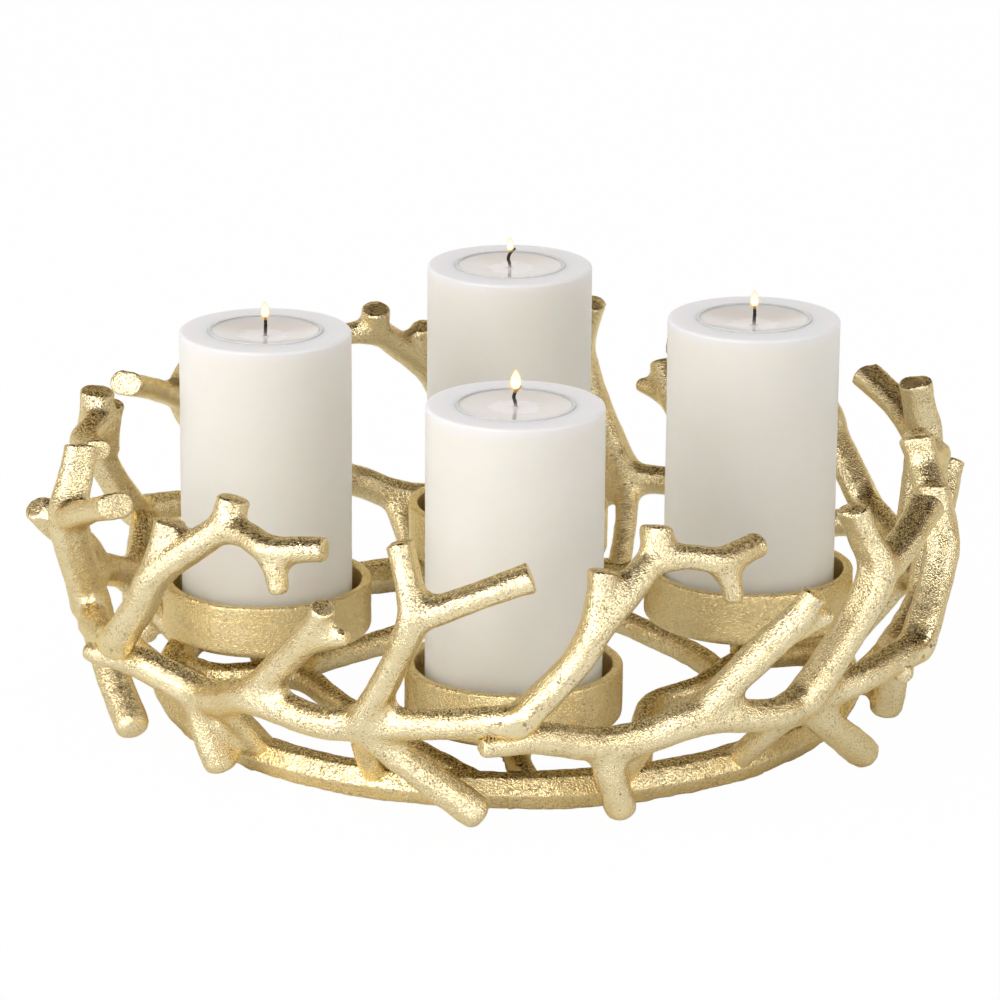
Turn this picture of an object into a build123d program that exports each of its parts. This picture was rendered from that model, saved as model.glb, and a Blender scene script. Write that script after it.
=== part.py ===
from build123d import *
import os
from math import cos, radians, sin, tan

# Advent candle holder: a wreath of six alike cast branches welded round a base ring of heavy rods,
# four dishes bolted on arms inside it, and in each dish a lasting candle with a tealight in its top.
# Millimetres, +Z up, origin on the floor at the wreath's axis, the front towards -Y.

# Wreath of cast branches: each casting is set round and raised a little by hand when it is welded
branch_count = 6
branch_turns = (0, 1, 1, 1, 0, 1)
branch_lifts = (2.5, 0, 1.5, 3, 0, 4)
stem_half = 7
limb_half = 6.6
twig_half = 6
prong_half = 5.8
foot_half = 7
cut_tip_round = 1.2
soft_tip_round = 4
first_foot_gap = 3
second_foot_gap = 5
weld_half = 8.8
weld_length = 16
weld_round = 4
bend_share = 0.45
largest_bend = 90

# Base ring of rods, laid end to end on the floor and ground flat underneath
rod_count = 8
rod_first_joint = 225
rod_reach = 159
rod_half = 8.6
rod_swell = 0.5
rod_axis_height = 8

# Dishes
cup_circle = 113.4
cup_wall = 4.6
candle_gap = 4.4
cup_floor = 5
cup_height = 25
cup_foot_round = 3.5
cup_rim_round = 1.2
cup_angles = {"front": 271.3, "left": 181.3, "right": 1.3, "back": 90}

# Countersunk bolt, washer and nut that hold each dish on its lug
arm_half = 5.8
lug_radius = 8.5
lug_height = 18
lug_foot_heights = {"front": 10, "left": 13, "right": 19, "back": 15}
bolt_radius = 2.5
bolt_hole_clearance = 0.25
bolt_head_radius = 5
bolt_head_depth = 2.8
bolt_head_sink = 0.3
bolt_past_nut = 1.5
washer_radius = 8
washer_thickness = 1.2
nut_flats = 8
nut_height = 4

# Lasting candle with a socket for the tealight
candle_radius = 40
candle_height = 140
candle_top_round = 2.5
candle_foot_round = 1.5
socket_depth = 20

# Tealight in a clear cup
tealight_radius = 26.8
tealight_clearance = 0.3
tealight_wall = 1
tealight_floor = 1.2
tealight_rim_proud = 0.4
wax_below_rim = 2.4
tab_radius = 7
tab_thickness = 0.8
collar_radius = 2
collar_height = 3
wick_radius = 0.8
wick_above_wax = 10.5
wick_tip_round = 0.3
wick_straight = 1
wick_lean = 2.6


def polar(turn, reach, height):
    """Place a point by its angle about the wreath's axis, its distance from it and its height."""
    return Vector(reach * cos(radians(turn)), reach * sin(radians(turn)), height)


def bend_radii(points):
    """Radius at each inner point, as large as the shorter run beside it allows."""
    radii = []
    for before, here, after in zip(points, points[1:], points[2:]):
        half_turn = radians((here - before).get_angle(after - here) / 2)
        run = min((here - before).length, (after - here).length)
        radii.append(min(bend_share * run / tan(half_turn), largest_bend))
    return radii


def rod_along(points, half, end_round):
    """Round rod along straight runs joined by arcs, with its far end rounded over."""
    with BuildPart() as rod:
        with BuildLine() as route:
            if len(points) > 2:
                FilletPolyline(*points, radius=bend_radii(points))
            else:
                Line(*points)
        with BuildSketch(Plane(points[0], z_dir=points[1] - points[0])):
            Circle(half)
        sweep(path=route.wires()[0])
        far_end = rod.faces().sort_by_distance(points[-1])[0]
        fillet(far_end.edges(), end_round)
    return rod.part


def casting_limb(half, *stations, tip_round=cut_tip_round):
    """Limb of the casting through stations of (turn, distance outside the base ring, height)."""
    points = [polar(turn, rod_reach + outside, height) for turn, outside, height in stations]
    return rod_along(points, half, tip_round)


def arm_limb(*stations):
    """Limb of an arm; a station's share is 1 at the base ring, 0 at the dish circle, -1 at the axis."""
    points = []
    for turn, share, height in stations:
        span = rod_reach - cup_circle if share > 0 else cup_circle
        points.append(polar(turn, cup_circle + share * span, height))
    return rod_along(points, arm_half, cut_tip_round)


# Limbs of the branch casting, drawn where the first of the six stands.
# The stem runs along the wreath, from its cut start to the weld on the next casting.
stem = casting_limb(
    stem_half,
    (271.5, 50, 56),
    (261, 44, 51),
    (251, 37, 46),
    (245, 39.5, 45),
    (235, 36.5, 49),
    (228, 29.5, 41),
    (221.7, 27, 38),
    (213, 38, 46),
    (206, 54, 47),
)
# Rising limb over the weld with its tip, its left twig, the arm that reaches on and its down twig
rising_limb = casting_limb(
    limb_half,
    (271.5, 50, 56),
    (278, 50, 82),
    (281, 48.5, 99),
    (289, 35, 123),
    (289.6, 31, 135),
)
left_twig = casting_limb(twig_half, (280, 49, 94), (281, 46, 110), (281.4, 43.5, 121))
reaching_arm = casting_limb(
    twig_half,
    (288.5, 35.5, 121),
    (293, 37, 122),
    (297.7, 40, 119),
    (304.4, 33, 120.6),
)
drop_twig = casting_limb(
    prong_half,
    (297, 40, 119),
    (298.6, 41.5, 110),
    (299.3, 42, 100),
    tip_round=soft_tip_round,
)
# Slanting rod with a short side twig
slanting_rod = casting_limb(
    limb_half,
    (235, 36.5, 50),
    (239.4, 39, 66),
    (243.5, 43.7, 80),
    (246.6, 50, 92.7),
    (248, 54, 103),
)
side_twig = casting_limb(
    prong_half,
    (244, 45, 83),
    (247.5, 50, 86.5),
    (251.2, 53.5, 89),
    tip_round=soft_tip_round,
)
# Tall forked limb: one short prong and one long slanting prong
tall_limb = casting_limb(
    twig_half,
    (251, 37, 46),
    (255.6, 46, 74),
    (258.9, 54.5, 102),
    (258, 50, 119),
    (256.8, 45, 133),
)
long_prong = casting_limb(prong_half, (258.5, 54, 101), (265.5, 53.5, 112), (272.6, 51.3, 121.5))
# Down twigs with rounded tips that stand near the floor, and struts inwards to the base ring
first_foot = casting_limb(
    foot_half,
    (221.7, 27, 38),
    (223.3, 26, 20),
    (225, 21, first_foot_gap),
    tip_round=soft_tip_round,
)
second_foot = casting_limb(
    foot_half,
    (251, 37, 45),
    (258.3, 34.5, 24),
    (267, 33.5, second_foot_gap),
    tip_round=soft_tip_round,
)
first_strut = casting_limb(twig_half, (228, 29, 40), (227.2, 17, 26), (226.5, 0, rod_axis_height))
second_strut = casting_limb(twig_half, (251, 36, 44), (249.5, 20, 28), (248.5, 0, rod_axis_height))
weld_middle = polar(270, rod_reach + 49.2, 55)
weld_way = polar(276, rod_reach + 50, 62) - weld_middle
with BuildPart() as weld_bead:
    with BuildSketch(Plane(weld_middle, z_dir=weld_way)):
        Circle(weld_half)
    extrude(amount=weld_length / 2, both=True)
    fillet(weld_bead.edges(), weld_round)

with BuildPart() as casting:
    add(stem)
    add([rising_limb, left_twig, reaching_arm, drop_twig, slanting_rod, side_twig, tall_limb, long_prong])
    add([first_foot, second_foot, first_strut, second_strut, weld_bead.part])


def placed_casting(index):
    """Turn and raise a copy of the branch casting to its place in the wreath."""
    place = index % branch_count
    turn = place * 360 / branch_count + branch_turns[place]
    return casting.part.moved(Location((0, 0, branch_lifts[place]), (0, 0, turn)))


# Base rods: rings cut at planes through the axis, so that the rods meet end to end
rod_span = 360 / rod_count
rods = []
for index in range(rod_count):
    outward = polar(rod_first_joint + index * rod_span, 1, 0)
    with BuildPart() as rod:
        with BuildSketch(Plane((0, 0, 0), x_dir=outward, z_dir=outward.rotate(Axis.Z, -90))):
            with Locations((rod_reach, rod_axis_height)):
                Circle(rod_half + rod_swell * (index % 2))
        revolve(axis=Axis.Z, revolution_arc=rod_span)
        split(bisect_by=Plane.XY, keep=Keep.TOP)
    rod.part.label = f"base_rod_{index + 1}"
    rods.append(rod.part)


def seat_point(seat):
    """Middle of the underside of the dish at this seat."""
    return polar(cup_angles[seat], cup_circle, lug_foot_heights[seat] + lug_height)


# Arms inside the base ring: limbs that carry a lug under each dish
arm_limbs = {
    "left": (
        arm_limb(
            (176, 1, rod_axis_height),
            (189, 0.561, 13),
            (193, 0.035, 15),
            (199, -0.118, 15),
            (220.6, -0.109, 14),
            (245, 0.123, 12),
            (257.6, 0.561, 11),
            (267, 1, rod_axis_height),
        ),
        arm_limb((193, 0.035, 15), (186, 0, 19), (cup_angles["left"], 0, 21)),
    ),
    "right": (
        arm_limb(
            (11, 1, rod_axis_height),
            (5, 0.583, 14),
            (356, -0.004, 18),
            (333, -0.109, 17),
            (317, -0.18, 15),
            (303, -0.004, 13),
            (294.4, 0.649, 11),
            (291, 1, rod_axis_height),
        ),
        arm_limb((356, -0.004, 18), (359, 0, 23), (cup_angles["right"], 0, 26.5)),
    ),
    "back": (
        arm_limb(
            (90, 1, rod_axis_height),
            (91, 0.539, 15),
            (cup_angles["back"], 0, 21),
            (69, -0.25, 17),
            (39, -0.33, 16),
            (5, -0.224, 15),
            (347, -0.092, 16),
        ),
        arm_limb(
            (cup_angles["back"], 0, 21),
            (112, -0.339, 16),
            (145, -0.453, 14),
            (183.5, -0.189, 14),
            (196, -0.083, 15),
        ),
    ),
    "front": (
        arm_limb(
            (274, 1, rod_axis_height),
            (272, 0.539, 13),
            (cup_angles["front"], 0, 17),
            (252, -0.145, 14),
            (229, -0.101, 14),
        ),
    ),
}
arms = {}
for seat in arm_limbs:
    foot = seat_point(seat) - Vector(0, 0, lug_height)
    with BuildPart() as arm:
        add(list(arm_limbs[seat]))
        with BuildSketch(Plane(foot)):
            Circle(lug_radius)
        extrude(amount=lug_height)
        with BuildSketch(Plane(foot)):
            Circle(washer_radius + bolt_hole_clearance)
        extrude(amount=-lug_height, mode=Mode.SUBTRACT)
        with BuildSketch(Plane(foot)):
            Circle(bolt_radius + bolt_hole_clearance)
        extrude(amount=lug_height, mode=Mode.SUBTRACT)
        add([*arms.values(), *rods], mode=Mode.SUBTRACT)
    arm.part.label = f"cup_arm_{seat}"
    arms[seat] = arm.part

branches = []
for index in range(branch_count):
    with BuildPart() as branch:
        add(placed_casting(index))
        add([placed_casting(index + 1), *rods], mode=Mode.SUBTRACT)
    branch.part.label = f"branch_{index + 1}"
    branches.append(branch.part)

# Dishes, candles and tealights are turned about the axis of each seat
cup_radius = candle_radius + candle_gap + cup_wall
socket_radius = tealight_radius + tealight_clearance
candle_top = cup_floor + candle_height
tealight_foot = candle_top - socket_depth
tealight_rim = candle_top + tealight_rim_proud
wax_foot = tealight_foot + tealight_floor
wax_top = tealight_rim - wax_below_rim
wax_radius = tealight_radius - tealight_wall
collar_top = wax_foot + tab_thickness + collar_height
bolt_top = cup_floor - bolt_head_sink
washer_top = -lug_height
nut_top = washer_top - washer_thickness
bolt_end = nut_top - nut_height - bolt_past_nut
curled_wicks = ("front", "back")
wick_curl = ((-0.3, 0.35), (0.1, 0.65), (1, 0.85))

cups, candles, tealight_cups, waxes, wicks, tabs = [], [], [], [], [], []
bolts, washers, nuts = [], [], []
for seat in cup_angles:
    base = seat_point(seat)
    section = Plane(base, x_dir=(1, 0, 0), z_dir=(0, -1, 0))
    axis = Axis(base, (0, 0, 1))

    with BuildPart() as cup:
        with BuildSketch(Plane(base)):
            Circle(cup_radius)
        extrude(amount=cup_height)
        with BuildSketch(Plane(base + Vector(0, 0, cup_floor))):
            Circle(cup_radius - cup_wall)
        extrude(amount=cup_height, mode=Mode.SUBTRACT)
        rim = cup.faces().sort_by(Axis.Z)[-1]
        fillet(rim.edges(), cup_rim_round)
        foot_edge = cup.faces().sort_by(Axis.Z)[0].outer_wire().edges()
        fillet(foot_edge, cup_foot_round)
        with BuildSketch(section):
            with BuildLine():
                Polyline(
                    (0, 0),
                    (bolt_radius, 0),
                    (bolt_radius, bolt_top - bolt_head_depth),
                    (bolt_head_radius, bolt_top),
                    (bolt_head_radius, cup_floor),
                    (0, cup_floor),
                    close=True,
                )
            make_face()
        revolve(axis=axis, mode=Mode.SUBTRACT)
    cup.part.label = f"cup_{seat}"
    cups.append(cup.part)

    with BuildPart() as bolt:
        with BuildSketch(section):
            with BuildLine():
                Polyline(
                    (0, bolt_end),
                    (bolt_radius, bolt_end),
                    (bolt_radius, bolt_top - bolt_head_depth),
                    (bolt_head_radius, bolt_top),
                    (0, bolt_top),
                    close=True,
                )
            make_face()
        revolve(axis=axis)
    bolts.append(bolt.part)

    with BuildPart() as washer:
        with BuildSketch(Plane(base + Vector(0, 0, washer_top))):
            Circle(washer_radius)
            Circle(bolt_radius + bolt_hole_clearance, mode=Mode.SUBTRACT)
        extrude(amount=-washer_thickness)
    washers.append(washer.part)

    with BuildPart() as nut:
        with BuildSketch(Plane(base + Vector(0, 0, nut_top))):
            RegularPolygon(nut_flats / 2, 6, major_radius=False)
            Circle(bolt_radius, mode=Mode.SUBTRACT)
        extrude(amount=-nut_height)
    nuts.append(nut.part)

    with BuildPart() as candle:
        with BuildSketch(Plane(base + Vector(0, 0, cup_floor))):
            Circle(candle_radius)
        extrude(amount=candle_height)
        fillet(candle.faces().sort_by(Axis.Z)[-1].edges(), candle_top_round)
        fillet(candle.faces().sort_by(Axis.Z)[0].edges(), candle_foot_round)
        with BuildSketch(Plane(base + Vector(0, 0, tealight_foot))):
            Circle(socket_radius)
        extrude(amount=socket_depth, mode=Mode.SUBTRACT)
    candle.part.label = f"candle_{seat}"
    candles.append(candle.part)

    with BuildPart() as tealight_cup:
        with BuildSketch(Plane(base + Vector(0, 0, tealight_foot))):
            Circle(tealight_radius)
        extrude(amount=tealight_rim - tealight_foot)
        with BuildSketch(Plane(base + Vector(0, 0, wax_foot))):
            Circle(wax_radius)
        extrude(amount=tealight_rim - wax_foot, mode=Mode.SUBTRACT)
    tealight_cup.part.label = f"tealight_cup_{seat}"
    tealight_cups.append(tealight_cup.part)

    with BuildPart() as tab:
        with BuildSketch(Plane(base + Vector(0, 0, wax_foot))):
            Circle(tab_radius)
        extrude(amount=tab_thickness)
        with BuildSketch(Plane(base + Vector(0, 0, wax_foot + tab_thickness))):
            Circle(collar_radius)
            Circle(wick_radius, mode=Mode.SUBTRACT)
        extrude(amount=collar_height)
    tab.part.label = f"wick_tab_{seat}"
    tabs.append(tab.part)

    wick_foot = base + Vector(0, 0, wax_foot + tab_thickness)
    wick_turn = base + Vector(0, 0, wax_top + wick_straight)
    wick_route = [wick_foot, wick_turn + Vector(0, 0, wick_above_wax - wick_straight)]
    if seat in curled_wicks:
        wick_route = [wick_foot, wick_turn]
        for lean, rise in wick_curl:
            wick_route.append(wick_turn + Vector(lean * wick_lean, 0, rise * wick_above_wax))
    wick = rod_along(wick_route, wick_radius, wick_tip_round)
    wick.label = f"wick_{seat}"
    wicks.append(wick)

    with BuildPart() as wax:
        with BuildSketch(Plane(base + Vector(0, 0, wax_foot))):
            Circle(wax_radius)
        extrude(amount=wax_top - wax_foot)
        with BuildSketch(Plane(base + Vector(0, 0, wax_foot))):
            Circle(tab_radius)
        extrude(amount=tab_thickness, mode=Mode.SUBTRACT)
        with BuildSketch(Plane(base + Vector(0, 0, wax_foot))):
            Circle(collar_radius)
        extrude(amount=collar_top - wax_foot, mode=Mode.SUBTRACT)
        with BuildSketch(Plane(base + Vector(0, 0, collar_top))):
            Circle(wick_radius)
        extrude(amount=wax_top - collar_top, mode=Mode.SUBTRACT)
    wax.part.label = f"tealight_wax_{seat}"
    waxes.append(wax.part)

cup_bolts = Compound(label="cup_bolts", children=bolts)
cup_washers = Compound(label="cup_washers", children=washers)
cup_nuts = Compound(label="cup_nuts", children=nuts)

os.makedirs("parts", exist_ok=True)
pieces = [*branches, *rods, *arms.values(), *cups, cup_bolts, cup_washers, cup_nuts]
pieces += [*candles, *tealight_cups, *waxes, *wicks, *tabs]
for piece in pieces:
    export_step(piece, f"parts/{piece.label}.step")
    box = piece.bounding_box()
    print(piece.label, len(piece.solids()), "solids", round(piece.volume), "mm3", box.min, box.max)
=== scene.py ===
"""Looks of the advent candle holder: cast gold branches, dishes, lasting candles and their tealights."""

import logging
import math
from collections.abc import Callable, Sequence
from dataclasses import dataclass, field, replace
from enum import Enum
from typing import Any

import bmesh
import bpy
import numpy as np
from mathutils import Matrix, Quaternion, Vector, noise


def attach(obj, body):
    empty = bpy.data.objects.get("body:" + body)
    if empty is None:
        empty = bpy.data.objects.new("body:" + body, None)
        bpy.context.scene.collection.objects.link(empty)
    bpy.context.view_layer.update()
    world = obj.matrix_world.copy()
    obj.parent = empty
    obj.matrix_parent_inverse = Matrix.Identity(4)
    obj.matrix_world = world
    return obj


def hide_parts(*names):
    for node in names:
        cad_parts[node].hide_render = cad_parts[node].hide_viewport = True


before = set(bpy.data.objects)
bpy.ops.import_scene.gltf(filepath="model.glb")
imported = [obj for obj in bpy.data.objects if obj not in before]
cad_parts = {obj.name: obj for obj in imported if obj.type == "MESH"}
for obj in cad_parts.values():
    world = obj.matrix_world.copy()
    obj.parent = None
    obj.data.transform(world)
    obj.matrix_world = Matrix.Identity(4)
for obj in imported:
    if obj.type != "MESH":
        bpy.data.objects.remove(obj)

LOG = logging.getLogger("candle_holder")
MM = 0.001
WEB = 2.4 * MM
SEATS = ("front", "left", "right", "back")
SEAT_ANGLES = {"front": 271.3, "left": 181.3, "right": 1.3, "back": 90.0}
SEAT_HEIGHTS = {"front": 28.0, "left": 31.0, "right": 37.0, "back": 33.0}
SEAT_CIRCLE = 113.4
WHITE = (1.0, 1.0, 1.0, 1)
BLACK = (0.0, 0.0, 0.0, 1)

Colour = tuple[float, float, float, float]
Inputs = dict[str | int, Any]
Material = bpy.types.Material
Piece = bpy.types.Object
Profile = list[tuple[float, float]]
Route = tuple[tuple[float, float, float], ...]
Socket = bpy.types.NodeSocket
Station = tuple[float, float, float, float]


class Tip(Enum):
    """How a limb ends."""

    CUT = "cut"
    SOFT = "soft"


class Slot(Enum):
    """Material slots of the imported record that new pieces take."""

    CAST = "cast_gold"
    DISH = "dish_gold"
    CANDLE = "candle_wax"
    CLEAR_CUP = "clear_cup"
    POOL = "tealight_wax"
    WICK = "burnt_wick"


def polar(turn: float, reach: float, height: float) -> Vector:
    """Point in metres from degrees about the wreath's axis and a reach and height in millimetres."""
    angle = math.radians(turn)
    return Vector((reach * math.cos(angle), reach * math.sin(angle), height)) * MM


def seat_foot(seat: str, height: float = 0.0) -> Vector:
    """Point in metres on a seat's axis, some millimetres above the underside of its dish."""
    return polar(SEAT_ANGLES[seat], SEAT_CIRCLE, SEAT_HEIGHTS[seat] + height)


class TreeMaker:
    """Adds, sets and links nodes in one node tree."""

    def __init__(self, tree: bpy.types.NodeTree) -> None:
        """Keep the tree that is being filled."""
        self.tree = tree

    def add(self, kind: str, inputs: Inputs | None = None, **settings: Any) -> bpy.types.Node:
        """Add one node.

        Args:
            kind: Blender's name for the node's type.
            inputs: A value, or a socket to link from, for each input by name or number.
            settings: Properties of the node.

        Returns:
            The new node.
        """
        node = self.tree.nodes.new(kind)
        for name, value in settings.items():
            setattr(node, name, value)
        for name, value in (inputs or {}).items():
            self.feed(node.inputs[name], value)
        return node

    def out(self, kind: str, inputs: Inputs | None = None, **settings: Any) -> Socket:
        """First output of a new node."""
        return self.add(kind, inputs, **settings).outputs[0]

    def feed(self, socket: Socket, value: Any) -> None:
        """Link an input to a socket, or set its value.

        Args:
            socket: The input.
            value: A socket to link from, or a plain value.
        """
        if isinstance(value, Socket):
            self.tree.links.new(value, socket)
        else:
            socket.default_value = value

    def math(self, operation: str, first: Any, second: Any) -> Socket:
        """Result of a Math node."""
        return self.out("ShaderNodeMath", {0: first, 1: second}, operation=operation)

    def plus(self, first: Any, second: Any) -> Socket:
        """Sum of two values."""
        return self.math("ADD", first, second)

    def times(self, first: Any, second: Any) -> Socket:
        """Product of two values."""
        return self.math("MULTIPLY", first, second)

    def less(self, first: Any, second: Any) -> Socket:
        """First value less the second."""
        return self.math("SUBTRACT", first, second)

    def most(self, first: Any, second: Any) -> Socket:
        """The larger of two values."""
        return self.math("MAXIMUM", first, second)

    def noise(self, place: Any, scale: Any, detail: float = 2.0, roughness: float = 0.5) -> Socket:
        """Noise over coordinates."""
        values = {"Vector": place, "Scale": scale, "Detail": detail, "Roughness": roughness}
        return self.add("ShaderNodeTexNoise", values).outputs["Fac"]

    def spread(self, value: Any, low: float, high: float, first: Any, last: Any) -> Socket:
        """Value taken from one range to another, and kept within it."""
        return self.out("ShaderNodeMapRange", {"Value": value, 1: low, 2: high, 3: first, 4: last})

    def mix(self, share: Any, first: Any, second: Any) -> Socket:
        """Colour between two colours."""
        return self.add("ShaderNodeMix", {"Factor": share, 6: first, 7: second}, data_type="RGBA").outputs[2]

    def attribute(self, name: str) -> Socket:
        """Value stored on the points of a piece."""
        return self.add("ShaderNodeAttribute", attribute_name=name).outputs["Fac"]

    def socket(self, name: str, kind: str, output: bool = False, default: Any = None) -> None:
        """Give the tree a named input or output.

        Args:
            name: Its name.
            kind: The last part of Blender's name for the socket's type.
            output: True for an output.
            default: Value of an input that is left alone.
        """
        way = "OUTPUT" if output else "INPUT"
        made = self.tree.interface.new_socket(name, in_out=way, socket_type=f"NodeSocket{kind}")
        if default is not None:
            made.default_value = default

    def end(self, geometry: Socket, finish: Socket) -> None:
        """End a geometry tree in real geometry with its finish.

        Args:
            geometry: What the tree has made.
            finish: The material's socket.
        """
        real = self.out("GeometryNodeRealizeInstances", {"Geometry": geometry})
        dressed = self.out("GeometryNodeSetMaterial", {"Geometry": real, "Material": finish})
        self.feed(self.add("NodeGroupOutput").inputs[0], dressed)


def link(name: str, mesh: bpy.types.Mesh) -> Piece:
    """Object at the origin for a mesh whose place is in its vertices."""
    piece = bpy.data.objects.new(name, mesh)
    bpy.context.scene.collection.objects.link(piece)
    return piece


def dress(piece: Piece, body: str, slot: Slot, *nodes: str) -> None:
    """Let a finished piece ride on a body and stand for CAD nodes.

    Args:
        piece: The finished mesh object.
        body: CAD body that it moves with.
        slot: Material slot of the record; not used.
        nodes: CAD nodes that it stands for.
    """
    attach(piece, body)
    if nodes:
        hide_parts(*nodes)
    LOG.info("%s: %d faces on %s", piece.name, len(piece.data.polygons), body)


def store(piece: Piece, name: str, values: Sequence[float]) -> None:
    """Store one value on each point of a piece."""
    piece.data.attributes.new(name, "FLOAT", "POINT").data.foreach_set("value", values)


def mark_painted_top_shade(piece: Piece) -> None:
    """Store on a casting's points how far they face upwards, where painted shade darkens its upper faces in
    specks.

    Args:
        piece: The casting.
    """
    flattest, span = 0.62, 0.34
    facing = np.empty(len(piece.data.vertices) * 3)
    piece.data.vertex_normals.foreach_get("vector", facing)
    store(piece, "painted_top_light", np.clip((facing.reshape(-1, 3)[:, 2] - flattest) / span, 0.0, 1.0))


def set_modifier_inputs(modifier: bpy.types.Modifier, values: dict[str, Any]) -> None:
    """Set the named inputs of a Geometry Nodes modifier by their sockets' identifiers.

    Args:
        modifier: The modifier, with its tree.
        values: A value for each input by name.
    """
    for item in modifier.node_group.interface.items_tree:
        if item.item_type == "SOCKET" and item.in_out == "INPUT" and item.name in values:
            modifier[item.identifier] = values[item.name]


def freeze(piece: Piece) -> None:
    """Turn a piece's modifiers into a plain mesh.

    Args:
        piece: The piece, which keeps its name.
    """
    bpy.context.view_layer.update()
    evaluated = piece.evaluated_get(bpy.context.evaluated_depsgraph_get())
    mesh = bpy.data.meshes.new_from_object(evaluated)
    piece.modifiers.clear()
    old = piece.data
    piece.data = mesh
    bpy.data.meshes.remove(old)
    mesh.name = piece.name


@dataclass(frozen=True)
class CastGrainGroup:
    """Shader group for the skin of a sand casting: colour drift, grain, and hollows darkened with painted
    shade, also in specks on upward-facing faces.
    """

    name: str = "cast_grain"
    drift_scale: float = 55.0
    patch_scale: float = 130.0
    hole_scale: float = 230.0
    streak_scale: float = 420.0
    streak_length: float = 0.12
    sand_scale: float = 1.4
    sand_depth: float = 0.45
    weld_roughness: float = 0.14
    weld_relief: float = 0.06

    def build(self) -> bpy.types.NodeTree:
        """Build the group.

        Returns:
            A shader node tree with Color, Roughness, Height and Coat outputs.
        """
        tree = bpy.data.node_groups.new(self.name, "ShaderNodeTree")
        maker = TreeMaker(tree)
        for name in ("Bright", "Deep", "Painted Shade"):
            maker.socket(name, "Color", default=WHITE)
        for name in ("Pit Share", "Grain Scale", "Smoothest", "Roughest"):
            maker.socket(name, "Float", default=0.0)
        for name in ("Chatter", "Polish", "Painted Top Shade", "Lacquer"):
            maker.socket(name, "Float", default=0.0)
        maker.socket("Color", "Color", output=True)
        for name in ("Roughness", "Height", "Coat"):
            maker.socket(name, "Float", output=True)
        inputs = maker.add("NodeGroupInput").outputs
        place = maker.add("ShaderNodeTexCoord").outputs["Object"]
        drift = maker.noise(place, self.drift_scale, 3.0, 0.55)
        patch = maker.noise(place, self.patch_scale, 4.0, 0.65)
        grain = maker.noise(place, inputs["Grain Scale"], 2.0, 0.6)
        blown = maker.noise(place, self.hole_scale, 1.0)
        stretch = {0: place, 1: (1.0, 1.0, self.streak_length)}
        upright = maker.out("ShaderNodeVectorMath", stretch, operation="MULTIPLY")
        streaks = maker.noise(upright, self.streak_scale)
        packing = maker.times(inputs["Grain Scale"], self.sand_scale)
        cells = {"Vector": place, "Scale": packing, "Randomness": 1.0}
        sand = maker.add("ShaderNodeTexVoronoi", cells, feature="F1").outputs["Distance"]
        skin = maker.mix(maker.spread(drift, 0.3, 0.72, 0.0, 1.0), inputs["Bright"], inputs["Deep"])
        patches = maker.spread(patch, 0.42, 0.68, 0.08, 0.8)
        specks = maker.spread(grain, 0.44, 0.34, 0.0, 1.0)
        # Painted shade: specks on upward-facing faces, standing in for the dark surroundings that they
        # reflect.
        upper_speckle = maker.spread(grain, 0.53, 0.46, 0.0, 1.0)
        holes = maker.spread(blown, 0.64, 0.68, 0.0, 0.95)
        # Painted shade: the hollow masks below darken the skin in scattered hollows, in weld hollows and in
        # specks on upward-facing faces; they also carve these hollows in the bump.
        scattered = maker.times(maker.times(patches, specks), inputs["Pit Share"])
        upper_hollows_and_shade = maker.times(maker.times(upper_speckle, inputs["Painted Top Shade"]), inputs["Pit Share"])
        weld_hollows = maker.times(holes, inputs["Polish"])
        hollows_and_shade = maker.most(maker.most(scattered, upper_hollows_and_shade), weld_hollows)
        dull = maker.less(1.0, inputs["Polish"])
        rough = maker.spread(patch, 0.3, 0.7, inputs["Smoothest"], inputs["Roughest"])
        polished = maker.times(inputs["Polish"], self.weld_roughness)
        sanded = maker.plus(grain, maker.times(sand, self.sand_depth))
        relief = maker.plus(maker.less(sanded, hollows_and_shade), maker.times(streaks, inputs["Chatter"]))
        results = maker.add("NodeGroupOutput").inputs
        # Painted shade: colour darkened towards the shade colour wherever the hollow masks reach.
        maker.feed(results["Color"], maker.mix(hollows_and_shade, skin, inputs["Painted Shade"]))
        maker.feed(results["Roughness"], maker.plus(maker.times(rough, dull), polished))
        maker.feed(results["Height"], maker.times(relief, maker.most(dull, self.weld_relief)))
        # No coat over the painted shade, so it stays dark.
        maker.feed(results["Coat"], maker.times(maker.less(1.0, hollows_and_shade), inputs["Lacquer"]))
        return tree


class Finish:
    """A material with its Principled shader, ready to be fed."""

    def __init__(self, name: str) -> None:
        """Make the material and keep its shader."""
        self.material = bpy.data.materials.new(name)
        self.material.use_nodes = True
        self.maker = TreeMaker(self.material.node_tree)
        self.shader = self.material.node_tree.nodes["Principled BSDF"]

    def set(self, **values: Any) -> None:
        """Set or link sockets of the shader, with underscores for the spaces in their names."""
        for name, value in values.items():
            self.maker.feed(self.shader.inputs[name.replace("_", " ")], value)

    def noise(self, scale: float, detail: float = 2.0, roughness: float = 0.5) -> Socket:
        """Noise on object coordinates."""
        place = self.maker.add("ShaderNodeTexCoord").outputs["Object"]
        return self.maker.noise(place, scale, detail, roughness)

    def ramp(self, value: Socket, *stops: tuple[float, Colour]) -> Socket:
        """Colour ramp.

        Args:
            value: What picks the colour, from 0 to 1.
            stops: Places from 0 to 1 and their colours, in order.

        Returns:
            The colour's socket.
        """
        node = self.maker.add("ShaderNodeValToRGB", {"Fac": value})
        elements = node.color_ramp.elements
        while len(elements) < len(stops):
            elements.new(0.5)
        for element, (at, colour) in zip(elements, stops):
            element.position = at
            element.color = colour
        return node.outputs["Color"]

    def bump(self, height: Socket, strength: float, distance: float) -> None:
        """Feed the shader's normal from a height."""
        values = {"Height": height, "Strength": strength, "Distance": distance}
        self.set(Normal=self.maker.out("ShaderNodeBump", values))


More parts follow.
